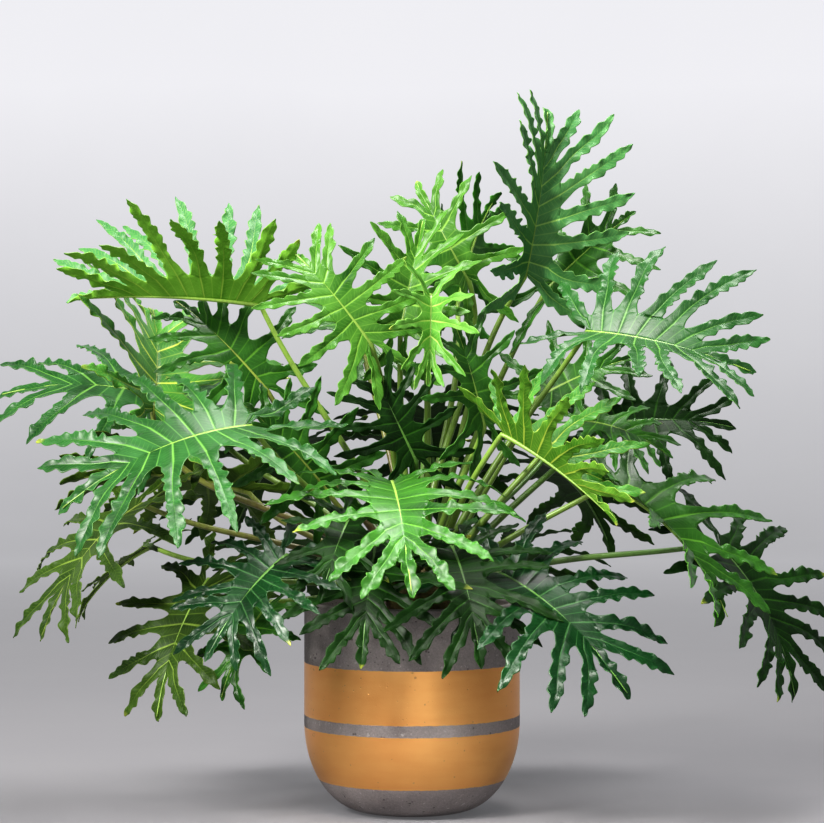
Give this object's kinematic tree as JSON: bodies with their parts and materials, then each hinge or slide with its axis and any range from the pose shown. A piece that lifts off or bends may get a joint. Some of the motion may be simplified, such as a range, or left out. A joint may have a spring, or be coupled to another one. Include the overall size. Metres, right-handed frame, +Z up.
{
  "type": "potted split-leaf philodendron",
  "caption": "Large split-leaf philodendron with deeply cut, wavy leaves on long stalks, in a round-bottomed concrete pot with two painted metallic bands.",
  "frame": {"origin": "centre of the pot's flat foot, on the ground", "axes": "+Z up along the pot's axis, -Y towards the side the plant is seen from, +X to the right of that view, along the plant's widest spread"},
  "size_m": [1.1156, 0.731, 0.9378],
  "materials": {
    "concrete": "matte",
    "soil": "matte",
    "stem": "matte",
    "leaf": "satin",
    "young_leaf": "satin"
  },
  "bodies": {
    "root": {"pot": "concrete", "potting_soil": "soil", "crown_stem": "stem", "leaf_upper_left": "young_leaf", "leaf_left_back": "young_leaf", "leaf_left_front": "leaf", "leaf_far_left": "leaf", "leaf_left_low": "leaf", "leaf_far_left_low": "leaf", "leaf_lower_left": "leaf", "leaf_lower_left_back": "leaf", "leaf_lower_left_front": "leaf", "leaf_left_hanging": "leaf", "leaf_centre_front": "leaf", "leaf_lower_right_front": "leaf", "leaf_far_right": "leaf", "leaf_right": "leaf", "leaf_upper_right": "leaf", "leaf_top": "leaf", "leaf_top_back": "leaf", "leaf_centre_top": "young_leaf", "leaf_centre_young": "young_leaf", "leaf_youngest": "young_leaf", "leaf_right_curled": "leaf", "leaf_right_middle": "leaf", "leaf_right_back": "leaf", "leaf_right_inner": "leaf", "leaf_top_right_back": "leaf", "leaf_left_inner": "leaf", "leaf_centre_left": "leaf", "leaf_over_rim": "leaf", "leaf_centre_low": "leaf", "leaf_back_left": "leaf", "leaf_back": "leaf", "leaf_back_right": "leaf", "leaf_back_low_left": "leaf", "leaf_back_low_right": "leaf", "leaf_top_inner": "leaf", "leaf_centre_dark": "leaf", "leaf_back_high": "leaf", "leaf_right_raised": "leaf", "leaf_over_rim_right": "leaf"}
  },
  "joints": []
}
